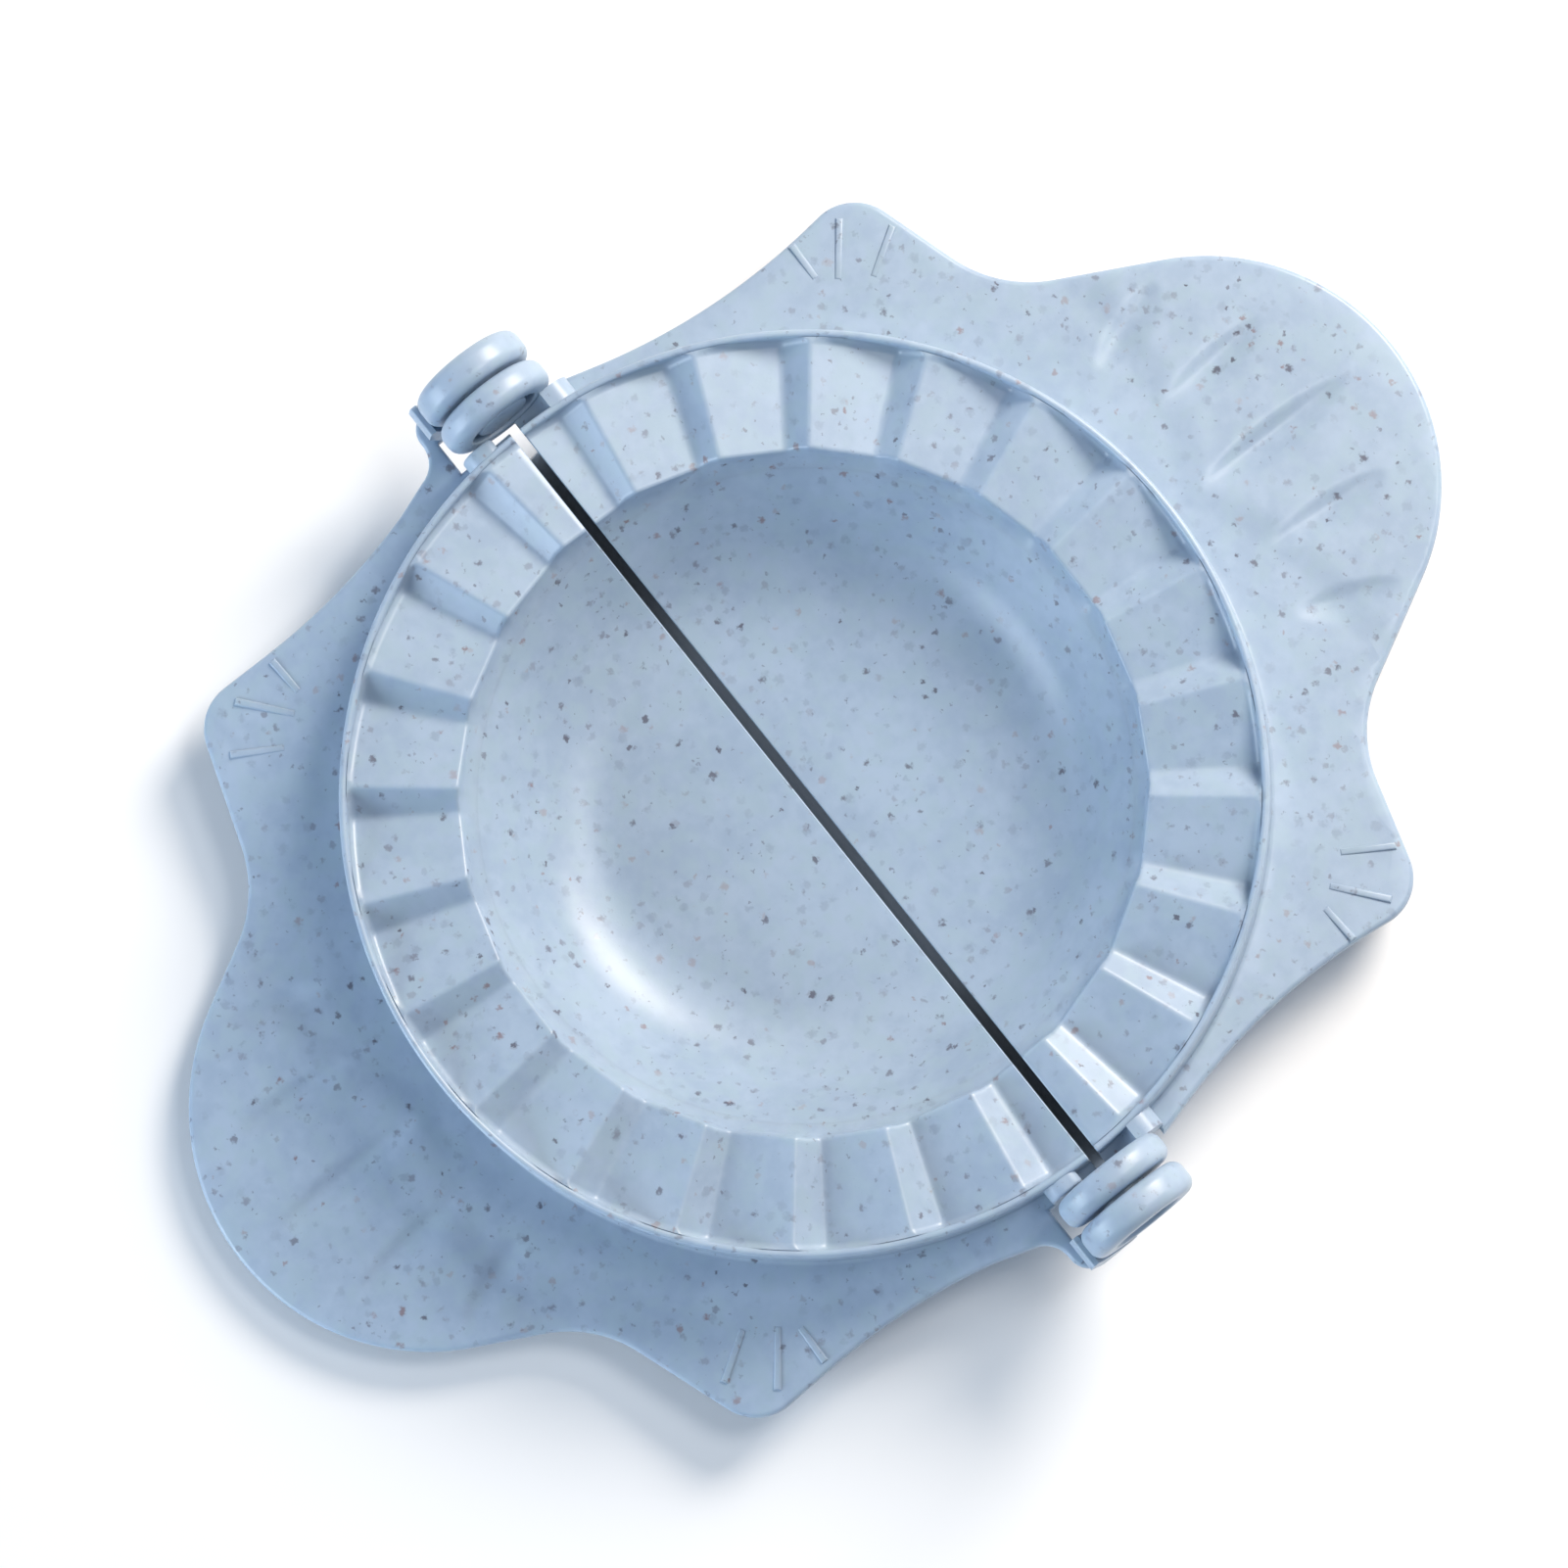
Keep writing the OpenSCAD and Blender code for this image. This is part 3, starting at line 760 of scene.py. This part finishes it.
class Kit:
    """Adds nodes to one material."""

    # Colour sockets of a Mix node, whose names are also those of its other sockets
    MIX_FACTOR, MIX_FIRST, MIX_SECOND, MIX_RESULT = 0, 6, 7, 2

    def __init__(self, material):
        material.use_nodes = True
        self.tree = material.node_tree
        self.tree.nodes.clear()

    def node(self, kind, settings=None, inputs=None):
        """Adds a node; inputs go by name or in order, and are linked or set."""
        node = self.tree.nodes.new(kind)
        for name, setting in (settings or {}).items():
            setattr(node, name, setting)
        pairs = inputs.items() if isinstance(inputs, dict) else enumerate(inputs or ())
        for name, given in pairs:
            if isinstance(given, Value):
                given = given.socket
            if isinstance(given, bpy.types.NodeSocket):
                self.tree.links.new(given, node.inputs[name])
            else:
                node.inputs[name].default_value = given
        return Made(self, node)

    def place(self):
        """Where a point is on its piece, in metres."""
        return self.node("ShaderNodeTexCoord").out("Object")

    def mix(self, factor, first, second):
        """Mixes two colours."""
        inputs = {self.MIX_FACTOR: factor, self.MIX_FIRST: first, self.MIX_SECOND: second}
        return self.node("ShaderNodeMix", {"data_type": "RGBA"}, inputs).out(self.MIX_RESULT)

    def ramp(self, value, low, high):
        """A soft step from 0 to 1 between two values."""
        return self.node("ShaderNodeMapRange", {"interpolation_type": "SMOOTHSTEP"},
                         {"Value": value, "From Min": low, "From Max": high,
                          "To Min": 0.0, "To Max": 1.0}).value()

    def noise(self, where, size_mm, detail, roughness=0.5):
        return self.node("ShaderNodeTexNoise", {"noise_dimensions": "3D"},
                         {"Vector": where, "Scale": 1 / (size_mm * MM), "Detail": detail,
                          "Roughness": roughness})

    def specks(self, where, cell_mm, share, smallest, largest):
        """Scattered specks: one in some of the cells, each with a size of its own."""
        cells = self.node("ShaderNodeTexVoronoi", {"voronoi_dimensions": "3D", "feature": "F1"},
                          {"Vector": where, "Scale": 1 / (cell_mm * MM), "Randomness": 1.0})
        lot = self.node("ShaderNodeSeparateColor", inputs=[cells.out("Color")])
        size = (smallest + (largest - smallest) * lot.value("Green")) / cell_mm
        inside = 1 - self.ramp(cells.value("Distance") / size, 0.4, 1.05)
        return inside * (lot.value("Red") < share), lot.value("Blue")

    def finish(self, **inputs):
        """Ends the material in one Principled shader; names have _ for a space."""
        named = {name.replace("_", " "): given for name, given in inputs.items()}
        shader = self.node("ShaderNodeBsdfPrincipled", inputs=named)
        self.node("ShaderNodeOutputMaterial", inputs={"Surface": shader.out()})


def straw_plastic(name):
    """Pale blue moulded plastic with bits of ground straw in it."""
    material = bpy.data.materials.new(name)
    kit = Kit(material)
    here = kit.place()
    # Uneven outlines for the bits of straw
    shove = kit.noise(here, 0.45, detail=2.0).out("Color")
    centred = kit.node("ShaderNodeVectorMath", {"operation": "SUBTRACT"}, (shove, (0.5, 0.5, 0.5)))
    moved = kit.node("ShaderNodeVectorMath", {"operation": "MULTIPLY_ADD"},
                     (centred.out(), (MM, MM, MM), here)).out()
    cloud = kit.noise(here, 8.0, detail=3.0).value()
    fine = kit.noise(here, 1.6, detail=3.0).value()
    hue = kit.noise(here, 2.6, detail=2.0).value()

    colour = kit.mix(kit.ramp(0.6 * cloud + 0.4 * fine, 0.36, 0.64), DEEP_BLUE, PALE_BLUE)
    colour = kit.mix(0.5 * kit.ramp(hue, 0.42, 0.66), colour, GREEN_BLUE)
    # Straw under the skin shows as soft grey smudges
    sunk, tint = kit.specks(moved, cell_mm=1.8, share=0.6, smallest=0.35, largest=0.75)
    colour = kit.mix(sunk * (0.12 + 0.22 * tint), colour, SUNK_GREY)
    # Straw at the surface: grey-brown bits, tiny crumbs and a few reddish flakes
    dark, tint = kit.specks(moved, cell_mm=1.5, share=0.42, smallest=0.26, largest=0.56)
    dark_colour = kit.mix(tint, STRAW_GREY, STRAW_BLACK)
    colour = kit.mix(dark * (0.3 + 0.55 * tint * tint), colour, dark_colour)
    crumbs, tint = kit.specks(moved, cell_mm=0.8, share=0.22, smallest=0.10, largest=0.24)
    colour = kit.mix(crumbs * (0.3 + 0.3 * tint), colour, CRUMB_GREY)
    warm, tint = kit.specks(moved, cell_mm=2.4, share=0.5, smallest=0.26, largest=0.6)
    warm_colour = kit.mix(tint, STRAW_TAN, STRAW_RED)
    colour = kit.mix(warm * (0.3 + 0.45 * tint), colour, warm_colour)

    satin = 0.30 + 0.10 * cloud - 0.06 * dark
    skin = kit.noise(here, 0.22, detail=3.0, roughness=0.6).value()
    swell = kit.noise(here, 6.0, detail=1.0).value()
    relief = 0.35 * skin + 1.2 * swell - 0.25 * dark
    bump = kit.node("ShaderNodeBump", inputs={
        "Strength": 0.25, "Distance": 0.06 * MM, "Height": relief}).out()
    kit.finish(Base_Color=colour, Roughness=satin, IOR=1.49, Normal=bump,
               Subsurface_Weight=0.12, Subsurface_Radius=(0.004, 0.005, 0.006),
               Subsurface_Scale=0.5)
    return material


def table_top(name):
    """Plain pale board, a little uneven in shade."""
    material = bpy.data.materials.new(name)
    kit = Kit(material)
    cloud = kit.noise(kit.place(), 60.0, detail=2.0).value()
    kit.finish(Base_Color=kit.mix(cloud, TABLE_GREY, TABLE_PALE), Roughness=0.7)
    return material


# ---------- putting the pieces in place ----------

def link(name, data):
    """Adds an object to the scene."""
    added = bpy.data.objects.new(name, data)
    bpy.context.scene.collection.objects.link(added)
    return added


def place_piece(name, shape, material, body, nodes, turned, mirrored=False):
    """Makes one moulded piece, hangs it on its body and hides the CAD nodes it stands for."""
    bm = bmesh.new()
    shape(bm)
    if mirrored:
        bmesh.ops.scale(bm, verts=bm.verts[:], vec=(-1, 1, 1))
        bmesh.ops.reverse_faces(bm, faces=bm.faces[:])
    if turned:
        turn_about_z(bm, math.pi)
    bmesh.ops.scale(bm, verts=bm.verts[:], vec=(MM, MM, MM))
    for face in bm.faces:
        face.smooth = True
    for edge in bm.edges:
        edge.smooth = edge.calc_face_angle(0) < SMOOTH_ANGLE
    mesh = bpy.data.meshes.new(name)
    bm.to_mesh(mesh)
    bm.free()
    mesh.materials.append(material)
    piece = link(name, mesh)
    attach(piece, body)
    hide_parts(*nodes)


def light(name, place, size, energy, colour=(1, 1, 1)):
    """Round lamp that faces the middle of the press."""
    data = bpy.data.lights.new(name, "AREA")
    data.shape, data.size, data.energy, data.color = "DISK", size, energy, colour
    lamp = link(name, data)
    lamp.location = place
    lamp.rotation_euler = (-Vector(place)).to_track_quat("-Z", "Y").to_euler()


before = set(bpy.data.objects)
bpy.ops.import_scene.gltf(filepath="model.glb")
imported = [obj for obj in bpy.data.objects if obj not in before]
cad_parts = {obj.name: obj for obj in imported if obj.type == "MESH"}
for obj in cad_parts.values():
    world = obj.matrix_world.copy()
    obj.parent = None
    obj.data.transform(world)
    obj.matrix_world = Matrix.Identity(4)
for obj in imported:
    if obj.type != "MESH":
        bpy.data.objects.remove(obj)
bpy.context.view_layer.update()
plastic = straw_plastic("straw_plastic")

for half, is_base, outline in (("fold", False, FOLD_OUTLINE), ("base", True, BASE_OUTLINE)):
    body = half + "_half"
    for part, shape in (("bowl", bowl), ("crimp_ring", crimp_ring), ("trim_lip", trim_lip),
                        ("rim_wall", rim_wall), ("cutter_edge", cutter_edge),
                        ("tip_ribs", tip_ribs)):
        place_piece(f"{half}_{part}_moulding", shape, plastic, body, [f"{half}_{part}"], is_base)
    place_piece(f"{half}_wing_moulding", lambda bm: wing(bm, outline, necked=is_base), plastic,
                body, [f"{half}_wing", f"{half}_thumb_pad"], is_base)

for side in ("left", "right"):
    for node, ending, shape, body, turned in (
            (f"inner_knuckle_{side}", "moulding", inner_knuckle, "fold_half", False),
            (f"fold_hinge_arm_{side}", "moulding", hinge_arm, "fold_half", False),
            (f"outer_knuckle_{side}", "moulding", outer_knuckle, "base_half", False),
            (f"hinge_pin_{side}", "moulding", hinge_pin, "base_half", False),
            (f"base_cheek_{side}", "moulding", cheek, "base_half", True),
            (f"base_hinge_neck_{side}", "saddle", neck_saddle, "base_half", True)):
        # Half a turn carries a piece across, so then it is the right-hand one that is mirrored
        mirrored = side == ("right" if turned else "left")
        place_piece(f"{node}_{ending}", shape, plastic, body, [node], turned, mirrored)

# ---------- table, lights and camera ----------

floor_mesh = bpy.data.meshes.new("table")
bm = bmesh.new()
bmesh.ops.create_grid(bm, x_segments=4, y_segments=4, size=1.5)
bm.to_mesh(floor_mesh)
bm.free()
floor_mesh.materials.append(table_top("table_top"))
floor = link("table", floor_mesh)

world = bpy.data.worlds.new("studio")
world.use_nodes = True
background = world.node_tree.nodes["Background"].inputs
background["Color"].default_value = (0.80, 0.95, 1.18, 1)
background["Strength"].default_value = 0.26
bpy.context.scene.world = world
light("window", (-0.105, 0.530, 0.365), size=0.3, energy=5.5, colour=(1.0, 0.91, 0.81))
light("skylight", (0.08, 0.295, 0.574), size=0.2, energy=0.9)
light("reflector", (-0.09, -0.62, 0.18), size=0.4, energy=3.4, colour=(0.82, 0.95, 1.08))
bpy.context.scene.view_settings.view_transform = "Standard"

# The camera looks almost straight down, a little from the +X side
CAMERA_DISTANCE = 750 * MM
VIEW_WIDTH = 157.7 * MM
SENSOR_MM = 36
tilt = Vector((0.135, 0, 1)).normalized()
aim = Vector((-1.6, -0.97, HINGE_H)) * MM
turn_of_frame = math.radians(51.12)
right = Vector((math.cos(turn_of_frame), math.sin(turn_of_frame), 0))
right = (right - tilt * right.dot(tilt)).normalized()
up = tilt.cross(right)
camera_data = bpy.data.cameras.new("camera")
camera_data.sensor_width = SENSOR_MM
camera_data.lens = SENSOR_MM * CAMERA_DISTANCE / VIEW_WIDTH
camera_data.clip_start, camera_data.clip_end = 0.01, 10
camera = link("camera", camera_data)
camera.matrix_world = Matrix.Translation(aim + tilt * CAMERA_DISTANCE) \
    @ Matrix((right, up, tilt)).transposed().to_4x4()
bpy.context.scene.camera = camera
